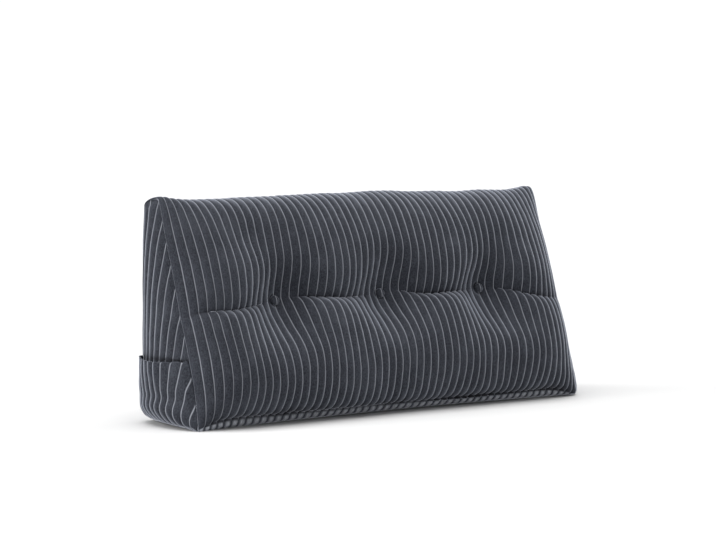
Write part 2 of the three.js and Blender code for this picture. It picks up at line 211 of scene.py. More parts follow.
@dataclass(frozen=True)
class Hollow:
    """A soft hollow in the filling under the front, or a fuller place where depth is negative."""

    x: float
    up: float
    depth: float
    reach_x: float
    reach_up: float

    def at(self, x: Numbers, up: Numbers) -> Numbers:
        """How far the hollow takes the front in at x and this far up the slope."""
        away = ((x - self.x) / self.reach_x) ** 2 + ((up - self.up) / self.reach_up) ** 2
        return self.depth * np.exp(-away / 2)


HOLLOWS = (
    Hollow(x=-0.330, up=0.380, depth=0.017, reach_x=0.070, reach_up=0.040),
    Hollow(x=-0.350, up=0.170, depth=0.010, reach_x=0.100, reach_up=0.035),
    Hollow(x=0.340, up=0.345, depth=0.010, reach_x=0.050, reach_up=0.035),
    Hollow(x=0.320, up=0.160, depth=0.010, reach_x=0.070, reach_up=0.035),
    Hollow(x=-0.460, up=0.460, depth=0.010, reach_x=0.090, reach_up=0.050),
    Hollow(x=-0.330, up=0.045, depth=-0.009, reach_x=0.130, reach_up=0.045),
    Hollow(x=0.180, up=0.030, depth=0.007, reach_x=0.140, reach_up=0.035),
)


@dataclass(frozen=True)
class Slope:
    """The straight slope under the front, between the y and z of its foot and of its ridge."""

    foot: Spot
    ridge: Spot

    @property
    def length(self) -> Numbers:
        """The slope's length."""
        return np.hypot(self.ridge[0] - self.foot[0], self.ridge[1] - self.foot[1])

    @property
    def out(self) -> Spot:
        """The y and z of its outward direction."""
        away_y, away_z = self.foot[1] - self.ridge[1], self.ridge[0] - self.foot[0]
        return away_y / self.length, away_z / self.length


@dataclass(frozen=True)
class WedgeForm:
    """The filled shape without its ribs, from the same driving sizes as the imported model."""

    half_length: float = 0.527
    foot: SectionPoint = SectionPoint((-0.094, 0.005), (-0.093, 0.021))
    ridge: SectionPoint = SectionPoint((0.090, 0.500), (0.079, 0.493))
    shoulder: SectionPoint = SectionPoint((0.120, 0.478), (0.120, 0.464))
    heel: SectionPoint = SectionPoint((0.120, 0.026), (0.126, 0.028))
    ridge_dip: float = 0.005
    corner_drop: Pair = (0.006, 0.011)
    corner_reach: float = 0.032
    corner_power: float = 2.5
    base_back: float = 0.094
    base_front: Pair = (-0.086, -0.045)
    base_twist: float = 0.010
    curl_roll: float = 0.55
    end_crown: Pair = (0.007, 0.014)
    front_crown: float = 0.089
    seam_tuft: float = 0.10
    front_squareness: float = 3.0
    front_fullness: float = 0.56
    back_crown: float = 0.010
    crown_reach: Pair = (0.120, 0.200)
    crown_steepness: float = 2.2
    seam_draw: Pair = (0.006, 0.005)
    corner_draw: Pair = (0.010, -0.008)
    seam_draw_rise: float = 0.100
    back_flare: float = 0.012
    ear_draw: float = 0.005
    ear_reach: float = 0.120
    edge_draw_power: float = 10.0
    foot_tuck: float = 0.022
    foot_round: float = 0.042
    side_crown_rate: float = 0.135
    side_foot_rise: float = 0.050
    side_head_power: int = 6
    rib_closing: float = 0.03
    rib_closing_power: float = 9.0
    foot_pinch: float = 0.007
    foot_pinch_reach: float = 0.012
    edge_samples: int = 400
    tufting: Tufting = Tufting()

    def crown_share(self, u: Numbers | float, up: Numbers | float = 0.0) -> Numbers:
        """The share of the full crown at u, which runs from -1 at the left seam to 1.

        Args:
            u: places along the length.
            up: the share of the slope that lies below the place.

        Returns:
            The shares, 0 at the side seams and 1 well inside them.
        """
        reach = lerp(self.crown_reach[0], self.crown_reach[1], up)
        inside = np.clip((1 - np.abs(u)) * self.half_length / reach, 0.0, 1.0)
        return 1 - (1 - inside) ** self.crown_steepness

    def rib_place(self, u: Numbers | float) -> Numbers:
        """Where u lies along the length: ribs close up towards the side seams."""
        closing = self.rib_closing * np.sign(u) * np.abs(u) ** self.rib_closing_power
        return u * (1 + self.rib_closing) - closing

    def ridge_at(self, u: Numbers | float) -> Spot:
        """The ridge, which lies lower between the top corners than at them.

        Args:
            u: places along the length.

        Returns:
            The ridge's y and z.
        """
        crown = self.crown_share(u)
        dip = self.ridge_dip * smooth(np.abs(u) * self.half_length / self.tufting.button_x[-1])
        near_seam = 1 - np.clip((1 - np.abs(u)) * self.half_length / self.corner_reach, 0.0, 1.0)
        drop = np.where(np.asarray(u) < 0, *self.corner_drop) * near_seam**self.corner_power
        y, z = self.ridge.at(crown)
        return y, z - dip * crown - drop

    def slope_at(self, u: Numbers | float) -> Slope:
        """The slope under the front at u."""
        return Slope(self.foot.at(self.crown_share(u)), self.ridge_at(u))

    def crease_share(self) -> float:
        """The share of the slope that lies below the crease at the middle button."""
        slope = Slope(self.foot.middle, self.ridge.middle)
        return float(self.tufting.crease_at(0.0) / slope.length)

    def along_crease(self, share: float, u: Numbers | float) -> Numbers:
        """The share of the slope below a row at u, where the rows run along the crease.

        Args:
            share: the row's share of the slope at the middle button.
            u: places along the length.

        Returns:
            The shares at u.
        """
        length = self.slope_at(u).length
        here = self.tufting.crease_at(self.rib_place(u) * self.half_length) / length
        middle = self.crease_share()
        if share < middle:
            return share * here / middle
        return 1 - (1 - share) * (1 - here) / (1 - middle)

    def front(self, share: Numbers | float, u: Numbers | float) -> Spot:
        """The front: the slope, its crown, and what the tufting takes away.

        Args:
            share: the share of the way up the slope.
            u: places along the length.

        Returns:
            The front's y and z.
        """
        crown = self.crown_share(u, share)
        slope = self.slope_at(u)
        off_middle = np.clip(np.abs(2 * share - 1), 0.0, 1.0)
        arch = (1 - off_middle**self.front_squareness) ** self.front_fullness
        end_crown = np.where(np.asarray(u) < 0, *self.end_crown)
        rise = lerp(end_crown, self.front_crown, crown) * arch
        x, up = self.rib_place(u) * self.half_length, share * slope.length
        lift = rise - self.tufting.depth(x, up) * lerp(self.seam_tuft, 1.0, crown**2)
        lift = lift - sum(hollow.at(x, up) for hollow in HOLLOWS) * crown
        y = lerp(slope.foot[0], slope.ridge[0], share) + slope.out[0] * lift
        return y, lerp(slope.foot[1], slope.ridge[1], share) + slope.out[1] * lift

    def quarter(self, start: Spot, end: Spot, share: float, along_y: bool) -> Spot:
        """A quarter of an ellipse between two points of the section.

        Args:
            start: the first point's y and z.
            end: the last point's y and z.
            share: the share of the turn.
            along_y: whether the curve leaves the first point along y, and not along z.

        Returns:
            The y and z on the curve.
        """
        early, late = math.sin(share * HALF_PI), 1 - math.cos(share * HALF_PI)
        share_y, share_z = (early, late) if along_y else (late, early)
        return lerp(start[0], end[0], share_y), lerp(start[1], end[1], share_z)

    def section(self, t: float, u: Numbers | float) -> Spot:
        """A point of the section, which runs once round from the foot up the front.

        Args:
            t: the stretch and the share of the way along it.
            u: places along the length.

        Returns:
            The section's y and z.
        """
        stretch, share = Stretch(int(t) % len(Stretch)), t - int(t)
        crown = self.crown_share(u)
        base_front = lerp(self.base_front[1], self.base_front[0], u**2) + self.base_twist * u
        zero = np.zeros_like(crown)
        if stretch is Stretch.FRONT:
            return self.front(self.along_crease(share, u), u)
        if stretch is Stretch.TOP:
            return self.quarter(self.ridge_at(u), self.shoulder.at(crown), share, True)
        if stretch is Stretch.BACK:
            (top_y, top_z), (low_y, low_z) = self.shoulder.at(crown), self.heel.at(crown)
            arch = self.back_crown * crown * 4 * share * (1 - share)
            return lerp(top_y, low_y, share) + arch, lerp(top_z, low_z, share)
        if stretch is Stretch.HEEL:
            return self.quarter(self.heel.at(crown), (self.base_back + zero, zero), share, False)
        if stretch is Stretch.BASE:
            return lerp(self.base_back + zero, base_front, share), zero
        foot_y, foot_z = self.foot.at(crown)
        turn_y, turn_z = self.quarter((base_front, zero), (foot_y, foot_z), share, True)
        flat_y, flat_z = lerp(base_front, foot_y, share), foot_z * share
        return lerp(flat_y, turn_y, self.curl_roll), lerp(flat_z, turn_z, self.curl_roll)

    def edge_half_length(self, y: Numbers, z: Numbers, side: Side) -> Numbers:
        """Half the length at the seam of an end panel.

        Args:
            y: places from front to back.
            z: heights.
            side: the end.

        Returns:
            The distances from the middle of the length.
        """
        (foot_y, foot_z), (ridge_y, ridge_z) = self.foot.end, self.ridge.end
        seam_y = lerp(foot_y, ridge_y, np.clip((z - foot_z) / (ridge_z - foot_z), 0.0, 1.0))
        width = self.heel.end[0] - seam_y
        behind = np.clip(1 - (self.heel.end[0] - y) / width, 0.0, 1.0)
        ear = smooth((z - (ridge_z - self.ear_reach)) / self.ear_reach)
        tuck = (1 - np.clip(z / self.foot_round, 0.0, 1.0)) ** 2
        at_back = self.back_flare - self.ear_draw * ear - self.foot_tuck * tuck
        end = list(Side).index(side)
        corner = smooth((z - (ridge_z - self.seam_draw_rise)) / self.seam_draw_rise)
        drawn = lerp(self.seam_draw[end], self.corner_draw[end], corner)
        at_seam = -drawn * smooth(z / self.seam_draw_rise)
        return self.half_length + lerp(at_seam, at_back, behind)

    def wrap(self, rows: list[float], u: Numbers) -> Numbers:
        """The wrap without its ribs.

        Args:
            rows: places round the section.
            u: places along the length.

        Returns:
            The points, one row for each place round the section, as [row, column, axis].
        """
        points = np.empty((len(rows), len(u), 3))
        for row, t in enumerate(rows):
            y, z = self.section(t, u)
            left, right = (self.edge_half_length(y, z, side) for side in Side)
            drawn = np.where(u < 0, left, right) - self.half_length
            edge = np.sign(u) * drawn * np.abs(u) ** self.edge_draw_power
            points[row, :, 0] = self.rib_place(u) * self.half_length + edge
            points[row, :, 1], points[row, :, 2] = y, z
        return points

    def edge(self, side: Side, first: float, last: float) -> Numbers:
        """A stretch of an end panel's outline.

        Args:
            side: the end.
            first: the place round the section where the stretch starts.
            last: the place where it ends.

        Returns:
            Its points from front to back, as [y, z].
        """
        places = np.linspace(first, last - JUST_UNDER, self.edge_samples)
        u = np.float64(side.value)
        line = np.array([[float(v) for v in self.section(t, u)] for t in places])
        return line[np.argsort(line[:, 0], kind="stable")]


@dataclass
class EndPanel:
    """The crowned panel at an end, as a height over the plane of y and z."""

    form: WedgeForm
    side: Side
    upper: Numbers = field(init=False)
    lower: Numbers = field(init=False)
    least_width: float = 0.001

    def __post_init__(self) -> None:
        """Samples the panel's outline once."""
        self.upper = self.form.edge(self.side, Stretch.FRONT.value, Stretch.BACK.value)
        self.lower = self.form.edge(self.side, Stretch.HEEL.value, len(Stretch))

    def top(self, y: Numbers | float) -> Numbers:
        """The height of the panel's upper edge at y."""
        return np.interp(y, self.upper[:, 0], self.upper[:, 1])

    def bottom(self, y: Numbers | float) -> Numbers:
        """The height of the panel's lower edge at y."""
        return np.interp(y, self.lower[:, 0], self.lower[:, 1])

    def front(self, z: Numbers | float) -> Numbers:
        """The place of the panel's sloping edge at the height z."""
        return np.interp(z, self.upper[:, 1], self.upper[:, 0])

    def across(self, y: Numbers, z: Numbers) -> tuple[Numbers, Numbers]:
        """The panel's width at z, and the share of it that lies in front of y."""
        width = np.maximum(self.form.heel.end[0] - self.front(z), self.least_width)
        return width, np.clip(1 - (self.form.heel.end[0] - y) / width, 0.0, 1.0)

    def half_length(self, y: Numbers, z: Numbers) -> Numbers:
        """Half the length over the crowned panel, without its ribs.

        Args:
            y: places from front to back.
            z: heights.

        Returns:
            The distances from the middle of the length.
        """
        width, share = self.across(y, z)
        rise = np.clip(z / self.form.side_foot_rise, 0.0, 1.0)
        low = 1 - (1 - rise) ** self.form.crown_steepness
        head = 1 - (z / self.form.ridge.end[1]) ** self.form.side_head_power
        crown = self.form.side_crown_rate * width * 4 * share * (1 - share) * low * head
        return self.form.edge_half_length(y, z, self.side) + crown

    def inside(self, y: Numbers, z: Numbers) -> Numbers:
        """How far y and z lie inside the panel's outline."""
        ways = [y - self.front(z), self.form.heel.end[0] - y, z - self.bottom(y), self.top(y) - z]
        return np.minimum.reduce(ways)


@dataclass(frozen=True)
class Ribs:
    """The cord's ribs: rounded, with a narrow groove between each two."""

    count: int = 55
    height: float = 0.0036
    squareness: float = 2.6
    fullness: float = 0.62
    steps: tuple[float, ...] = (0.0, 0.055, 0.13, 0.27, 0.5, 0.73, 0.87, 0.945)
    least_step: float = 0.04

    def profile(self, phase: Numbers) -> Numbers:
        """The rib's height at a phase, which is a whole number in the middle of each groove."""
        off_crest = np.abs(2 * (phase - np.floor(phase)) - 1)
        return self.height * (1 - off_crest**self.squareness) ** self.fullness

    def columns(self, first: float, last: float) -> Numbers:
        """The phases of the columns of a panel.

        Args:
            first: the phase of the panel's first edge.
            last: the phase of its last edge.

        Returns:
            The two edges' phases, and those of the steps of every rib between them.
        """
        whole = np.arange(math.floor(first), math.ceil(last))
        phases = (whole[:, None] + np.array(self.steps)[None, :]).ravel()
        inner = (phases > first + self.least_step) & (phases < last - self.least_step)
        return np.concatenate([[first], phases[inner], [last]])

    def uprights(
        self, front: float, back: float, first: float, pitch: float
    ) -> tuple[Numbers, Numbers]:
        """The columns of an upright panel, whose ribs are counted from its back edge.

        Args:
            front: the place of its front edge.
            back: the place of its back edge.
            first: how far its first groove lies from the back edge.
            pitch: the distance between its grooves.

        Returns:
            The columns' phases and their places, from front to back.
        """
        phase = self.columns(-first / pitch, (back - front - first) / pitch)[::-1]
        return phase, back - first - phase * pitch


@dataclass(frozen=True)
class Unevenness:
    """Small, soft unevenness over a panel, from waves in seeded directions."""

    seed: int
    size: float
    longest: float = 0.30
    shortest: float = 0.05
    waves: int = 14

    def at(self, a: Numbers, b: Numbers) -> Numbers:
        """The unevenness at places on the cloth.

        Args:
            a: distances along one direction of the cloth.
            b: distances along another.

        Returns:
            How far the cloth stands out, in metres.
        """
        draw = np.random.default_rng(self.seed)
        total = np.zeros(np.broadcast(a, b).shape)
        for wave in range(self.waves):
            length = lerp(self.longest, self.shortest, wave / (self.waves - 1))
            angle, phase = draw.uniform(0, 2 * math.pi, 2)
            along = a * math.cos(angle) + b * math.sin(angle)
            total += length / self.longest * np.sin(2 * math.pi * along / length + phase)
        return self.size * total / math.sqrt(self.waves / 4)


class Modelling:
    """The modelling steps that the pieces share."""

    @staticmethod
    def deselect() -> None:
        """Leaves edit mode and deselects everything."""
        if bpy.context.object and bpy.context.object.mode != "OBJECT":
            bpy.ops.object.mode_set(mode="OBJECT")
        bpy.ops.object.select_all(action="DESELECT")

    @classmethod
    def choose(cls, *objects: bpy.types.Object) -> None:
        """Selects these objects alone and makes the first one active.

        Args:
            objects: the objects.
        """
        cls.deselect()
        for piece in objects:
            piece.select_set(True)
        bpy.context.view_layer.objects.active = objects[0]

    @classmethod
    @contextmanager
    def editing(cls, target: bpy.types.Object, action: str = "SELECT") -> Iterator[None]:
        """Edit mode on one object.

        Args:
            target: the object.
            action: what is first done to the selection of its mesh.

        Yields:
            Nothing, while edit mode is on.
        """
        cls.choose(target)
        bpy.ops.object.mode_set(mode="EDIT")
        bpy.ops.mesh.select_all(action=action)
        yield
        bpy.ops.object.mode_set(mode="OBJECT")

    @classmethod
    def sheet(
        cls, name: str, points: Numbers, coords: Numbers, marks: Marks, side: Side | None = None
    ) -> bpy.types.Object:
        """A grid of cloth, shaped point by point.

        Args:
            name: the object's name.
            points: the points as [row, column, axis], facing out where the columns run to the
                right and the rows up.
            coords: the UV coordinates as [row, column, axis].
            marks: what the cloth's finish reads at each point, as [row, column], by name.
            side: the end that the grid belongs to. The left one's columns run the other way.

        Returns:
            The new object.
        """
        if side is Side.LEFT:
            points, coords = points[:, ::-1], coords[:, ::-1]
            marks = {mark: values[:, ::-1] for mark, values in marks.items()}
        cls.deselect()
        rows, columns = points.shape[:2]
        bpy.ops.mesh.primitive_grid_add(
            x_subdivisions=columns - 1, y_subdivisions=rows - 1, size=1.0, calc_uvs=False
        )
        grid = bpy.context.object
        grid.name = grid.data.name = name
        mesh = grid.data
        flat = np.empty(len(mesh.vertices) * 3)
        mesh.vertices.foreach_get("co", flat)
        place = flat.reshape(-1, 3)
        column = np.rint((place[:, 0] + 0.5) * (columns - 1)).astype(int)
        row = np.rint((place[:, 1] + 0.5) * (rows - 1)).astype(int)
        mesh.vertices.foreach_set("co", points[row, column].ravel())
        corner = np.empty(len(mesh.loops), dtype=np.int32)
        mesh.loops.foreach_get("vertex_index", corner)
        layer = mesh.uv_layers.new(name=UV_NAME)
        layer.uv.foreach_set("vector", coords[row[corner], column[corner]].ravel())
        for mark, values in marks.items():
            kept = mesh.attributes.new(mark, "FLOAT", "POINT")
            kept.data.foreach_set("value", values[row, column])
        mesh.update()
        return grid

    @classmethod
    def merge(cls, target: bpy.types.Object, distance: float = 1e-5) -> None:
        """Merges the points of a mesh that lie within this distance of each other."""
        with cls.editing(target):
            bpy.ops.mesh.remove_doubles(threshold=distance)

    @classmethod
    def join(cls, target: bpy.types.Object, *others: bpy.types.Object) -> None:
        """Joins the others into the target."""
        cls.choose(target, *others)
        bpy.ops.object.join()

    @classmethod
    def bridge_open_edges(cls, target: bpy.types.Object, side: Side) -> None:
        """Sews the two open loops at one end together.

        Args:
            target: the object.
            side: the end whose loops are bridged.
        """
        with cls.editing(target, "DESELECT"):
            bpy.ops.mesh.select_mode(type="EDGE")
            skin = bmesh.from_edit_mesh(target.data)
            for edge in skin.edges:
                if edge.is_boundary and edge.verts[0].co.x * side.value > 0:
                    edge.select_set(True)
            bmesh.update_edit_mesh(target.data)
            bpy.ops.mesh.bridge_edge_loops()

    @classmethod
    def face_outwards(cls, target: bpy.types.Object) -> None:
        """Turns every face of a closed mesh outwards."""
        with cls.editing(target):
            bpy.ops.mesh.normals_make_consistent(inside=False)

    @classmethod
    def thicken(cls, target: bpy.types.Object, thickness: float) -> None:
        """Gives a sheet its thickness, inwards from its outer face.

        Args:
            target: the object.
            thickness: how thick the cloth is.
        """
        cls.choose(target)
        modifier = target.modifiers.new("Solidify", "SOLIDIFY")
        modifier.thickness, modifier.offset = thickness, -1.0
        bpy.ops.object.modifier_apply(modifier=modifier.name)

    @classmethod
    def finish(cls, target: bpy.types.Object, material: bpy.types.Material) -> None:
        """Gives a piece its one material and smooth shading.

        Args:
            target: the piece.
            material: its material.
        """
        target.data.materials.clear()
        target.data.materials.append(material)
        cls.choose(target)
        bpy.ops.object.shade_smooth()
        cls.deselect()


def grid_normals(points: Numbers, closed: bool) -> Numbers:
    """The outward directions of a grid of points.

    Args:
        points: the points as [row, column, axis].
        closed: whether the last row runs on into the first.

    Returns:
        The unit directions, in the same order.
    """
    if closed:
        up = np.roll(points, -1, axis=0) - np.roll(points, 1, axis=0)
    else:
        up = np.gradient(points, axis=0)
    out = np.cross(np.gradient(points, axis=1), up)
    return out / np.maximum(np.linalg.norm(out, axis=2, keepdims=True), NO_LENGTH)


def lengths_along(points: Numbers, axis: int) -> Numbers:
    """The lengths along one axis of a grid.

    Args:
        points: the points as [row, column, axis].
        axis: the axis along which they are measured.

    Returns:
        The length from the first row or column to each point.
    """
    steps = np.linalg.norm(np.diff(points, axis=axis), axis=2)
    shape = list(steps.shape)
    shape[axis] = 1
    return np.concatenate([np.zeros(shape), np.cumsum(steps, axis=axis)], axis=axis)


class Value:
    """A number in a shader, which takes part in Python arithmetic."""

    def __init__(self, tree: "Shading", socket: Socket) -> None:
        """Wraps an output socket of a node tree."""
        self.tree = tree
        self.socket = socket

    def _with(self, operation: str, *values: "Value | float") -> "Value":
        """A Math node of this operation on the values, in order."""
        node = self.tree.node("ShaderNodeMath", {"operation": operation}, dict(enumerate(values)))
        return Value(self.tree, node.outputs[0])

    def __add__(self, other: "Value | float") -> "Value":
        """The sum."""
        return self._with("ADD", self, other)

    def __radd__(self, other: float) -> "Value":
        """The sum, from a number on the left."""
        return self._with("ADD", other, self)

    def __sub__(self, other: "Value | float") -> "Value":
        """The difference."""
        return self._with("SUBTRACT", self, other)

    def __rsub__(self, other: float) -> "Value":
        """The difference, from a number on the left."""
        return self._with("SUBTRACT", other, self)

    def __mul__(self, other: "Value | float") -> "Value":
        """The product."""
        return self._with("MULTIPLY", self, other)

    def __rmul__(self, other: float) -> "Value":
        """The product, from a number on the left."""
        return self._with("MULTIPLY", other, self)

    def fold(self, half: float) -> "Value":
        """The distance to the nearest whole multiple of twice this half."""
        return self._with("PINGPONG", self, half)

    def between(self, low: float, high: float) -> "Value":
        """A soft step.

        Args:
            low: where it leaves 0.
            high: where it reaches 1.

        Returns:
            The step from 0 to 1.
        """
        settings = {"interpolation_type": "SMOOTHSTEP"}
        inputs = {"Value": self, "From Min": low, "From Max": high}
        return Value(self.tree, self.tree.node("ShaderNodeMapRange", settings, inputs).outputs["Result"])


class Shading:
    """The node tree of a material or of the world."""

    def __init__(self, owner: bpy.types.ID) -> None:
        """Empties the owner's node tree.

        Args:
            owner: the material or the world.
        """
        owner.use_nodes = True
        self.owner = owner
        self.nodes, self.links = owner.node_tree.nodes, owner.node_tree.links
        self.nodes.clear()

    def node(self, kind: str, settings: dict, inputs: dict) -> bpy.types.Node:
        """Adds a node.

        Args:
            kind: the node's type.
            settings: its settings by name, which are set first.
            inputs: values or links of its sockets, by name or number.

        Returns:
            The new node.
        """
        made = self.nodes.new(kind)
        for name, value in settings.items():
            setattr(made, name, value)
        for name, value in inputs.items():
            socket = made.inputs[name]
            if isinstance(value, Value):
                self.links.new(value.socket, socket)
            elif isinstance(value, Socket):
                self.links.new(value, socket)
            else:
                socket.default_value = value
        return made

    def cloth_place(self) -> Socket:
        """The place on the cloth, from the piece's own UV map: ribs across and ribs along."""
        return self.node("ShaderNodeUVMap", {"uv_map": UV_NAME}, {}).outputs["UV"]

    def object_place(self) -> Socket:
        """The place in the frame, in metres."""
        return self.node("ShaderNodeTexCoord", {}, {}).outputs["Object"]

    def mark(self, name: str) -> Value:
        """What the mesh keeps at each point under this name."""
        return Value(self, self.node("ShaderNodeAttribute", {"attribute_name": name}, {}).outputs["Fac"])

    def grazing(self) -> Value:
        """The share by which the pile is seen from its side, for its sheen."""
        return Value(self, self.node("ShaderNodeLayerWeight", {}, {"Blend": 0.5}).outputs["Facing"])

    def part(self, vector: Socket, axis: str) -> Value:
        """One axis of a vector."""
        return Value(self, self.node("ShaderNodeSeparateXYZ", {}, {0: vector}).outputs[axis])

    def scaled(self, vector: Socket, scale: Triple) -> Socket:
        """A vector stretched along its axes."""
        return self.node("ShaderNodeMapping", {}, {"Vector": vector, "Scale": scale}).outputs[0]

    def noise(self, vector: Socket, scale: float, detail: float) -> Value:
        """Soft noise round 0.5.

        Args:
            vector: the place that it is read at.
            scale: how many of its grains lie along a unit.
            detail: how many finer layers it has.

        Returns:
            The noise.
        """
        inputs = {"Vector": vector, "Scale": scale, "Detail": detail, "Roughness": 0.55}
        return Value(self, self.node("ShaderNodeTexNoise", {}, inputs).outputs[0])

    def blend(self, share: Value, first: Color, second: Color) -> Socket:
        """A colour between two colours or links.

        Args:
            share: the share of the second one.
            first: the first colour, or a socket that gives it.
            second: the second colour, or a socket that gives it.

        Returns:
            The mixed colour.
        """
        inputs = {0: share}
        for number, color in ((MIX_FIRST, first), (MIX_SECOND, second)):
            inputs[number] = color if isinstance(color, Socket) else (*color, 1.0)
        return self.node("ShaderNodeMix", {"data_type": "RGBA"}, inputs).outputs[MIX_RESULT]

    def bump(self, height: Value, strength: float, distance: float) -> Socket:
        """A normal that follows a height.

        Args:
            height: the height.
            strength: how much of it shows.
            distance: the depth of its full range.

        Returns:
            The normal.
        """
        inputs = {"Height": height, "Strength": strength, "Distance": distance}
        return self.node("ShaderNodeBump", {}, inputs).outputs["Normal"]

    def surface(self, inputs: dict) -> bpy.types.Material:
        """Ends the tree with a shader of these inputs.

        Args:
            inputs: values or links of the shader's sockets by name.

        Returns:
            The finished material.
        """
        shader = self.node("ShaderNodeBsdfPrincipled", {}, inputs)
        self.node("ShaderNodeOutputMaterial", {}, {"Surface": shader.outputs[0]})
        return self.owner


@dataclass(frozen=True)
class Mottling:
    """A soft pattern on the cloth: how it is stretched, how fine it is, and where it fades in."""

    stretch: Triple
    scale: float
    detail: float
    fade: Pair = (0.0, 1.0)

    def noise(self, tree: Shading, cloth: Socket) -> Value:
        """The pattern's noise at a place on the cloth, round 0.5 and not faded."""
        return tree.noise(tree.scaled(cloth, self.stretch), self.scale, self.detail)

    def on(self, tree: Shading, cloth: Socket) -> Value:
        """The pattern at a place on the cloth, from 0 below its fade to 1 above it."""
        return self.noise(tree, cloth).between(*self.fade)


@dataclass(frozen=True)
class CordVelvet:
    """Cord velvet: brushed pile on the ribs and pale ground cloth in the grooves. Its base colour also
    holds painted sheen, painted floor-bounce light on the curl and painted shadow.
    """

    name: str
    pile: Color = (0.010, 0.011, 0.016)
    # The lighter pile colour, which both the random mottling and the painted sheen reach.
    brushed_and_sheen: Color = (0.112, 0.122, 0.146)
    ground: Color = (0.235, 0.245, 0.275)
    # Painted floor-bounce light on the foot's curl: a lighter colour on the ribs and a dimmer one in the
    # grooves.
    painted_bounce: Color = (0.46, 0.48, 0.53)
    bounce_dim: Color = (0.065, 0.070, 0.085)
    # The painted shadow's colour.
    shadow_tone: Color = (0.006, 0.006, 0.008)
    # Painted sheen: how far a grazing view lightens the base colour.
    sheen: float = 1.3
    sheen_range: Pair = (0.30, 1.0)
    groove_half: float = 0.028
    groove_edge: float = 0.030
    wander_size: float = 0.03
    wander: Mottling = Mottling((1.0, 0.5, 1.0), 2.0, 2.0)
    patch_scale: float = 11.0
    patch_detail: float = 4.0
    patch_range: Pair = (0.46, 0.68)
    marks: Mottling = Mottling((1.3, 0.5, 1.0), 1.0, 4.0, (0.50, 0.72))
    streaks: Mottling = Mottling((9.0, 1.6, 1.0), 1.0, 3.0, (0.35, 0.75))
    grain: Mottling = Mottling((5.0, 2.4, 1.0), 2.0, 2.0, (0.3, 0.7))
    patch_weight: float = 0.5
    mark_weight: float = 0.6
    worn_flat: float = 0.16
    worn_sheen: float = 0.8
    streak_weight: float = 0.12
    grain_weight: float = 0.24
    crest_range: Pair = (0.04, 0.40)
    bounce_least: float = 0.5
    bounce_grain: float = 0.7
    fibres: Mottling = Mottling((30.0, 6.0, 1.0), 2.0, 3.0)
    fibre_strength: float = 0.5
    fibre_depth: float = 0.0004

    def material(self) -> bpy.types.Material:
        """The velvet's material.

        Returns:
            The material, which reads the mesh's UV map and its two marks.
        """
        tree = Shading(bpy.data.materials.new(self.name))
        cloth, place = tree.cloth_place(), tree.object_place()
        wander = (self.wander.noise(tree, cloth) - 0.5) * self.wander_size
        from_groove = (tree.part(cloth, "X") + wander).fold(0.5)
        on_rib = from_groove.between(self.groove_half, self.groove_half + self.groove_edge)
        patches = tree.noise(place, self.patch_scale, self.patch_detail).between(*self.patch_range)
        patterns = (self.marks, self.streaks, self.grain)
        marks, streaks, grain = [pattern.on(tree, cloth) for pattern in patterns]
        # Painted sheen: where the cloth turns away from the view, the base colour lightens and the worn
        # patches show more.
        sheen = tree.grazing().between(*self.sheen_range)
        worn = patches * self.patch_weight + marks * self.mark_weight
        mottle_and_sheen = worn * (sheen * self.worn_sheen + self.worn_flat)
        mottle_and_sheen = mottle_and_sheen + streaks * self.streak_weight + grain * self.grain_weight
        pile = tree.blend(mottle_and_sheen + sheen * self.sheen, self.pile, self.brushed_and_sheen)
        color = tree.blend(1.0 - on_rib, pile, self.ground)
        # Painted floor-bounce light on the curl: lighter on the ribs, dimmer in the grooves.
        crest = from_groove.between(*self.crest_range)
        light = crest * (grain * self.bounce_grain + self.bounce_least)
        painted_bounce = tree.blend(light, self.bounce_dim, self.painted_bounce)
        color = tree.blend(tree.mark("painted_bounce"), color, painted_bounce)
        # Painted shadow at the foot seam, along the crease and above the pocket mouths.
        color = tree.blend(tree.mark("shadow"), color, self.shadow_tone)
        fibres = self.fibres.noise(tree, cloth)
        inputs = {
            "Base Color": color,
            "Roughness": 0.9,
            "Normal": tree.bump(fibres, self.fibre_strength, self.fibre_depth),
            "Specular IOR Level": 0.15,
            "Sheen Weight": 1.0,
            "Sheen Roughness": 0.25,
            "Sheen Tint": (0.86, 0.89, 1.0, 1.0),
        }
        return tree.surface(inputs)


@dataclass(frozen=True)
class Backdrop:
    """The pale floor's plain finish."""

    name: str = "pale_floor"
    color: Color = (0.64, 0.64, 0.64)

    def material(self) -> bpy.types.Material:
        """The floor's material."""
        inputs = {"Base Color": (*self.color, 1.0), "Roughness": 0.8}
        return Shading(bpy.data.materials.new(self.name)).surface(inputs)


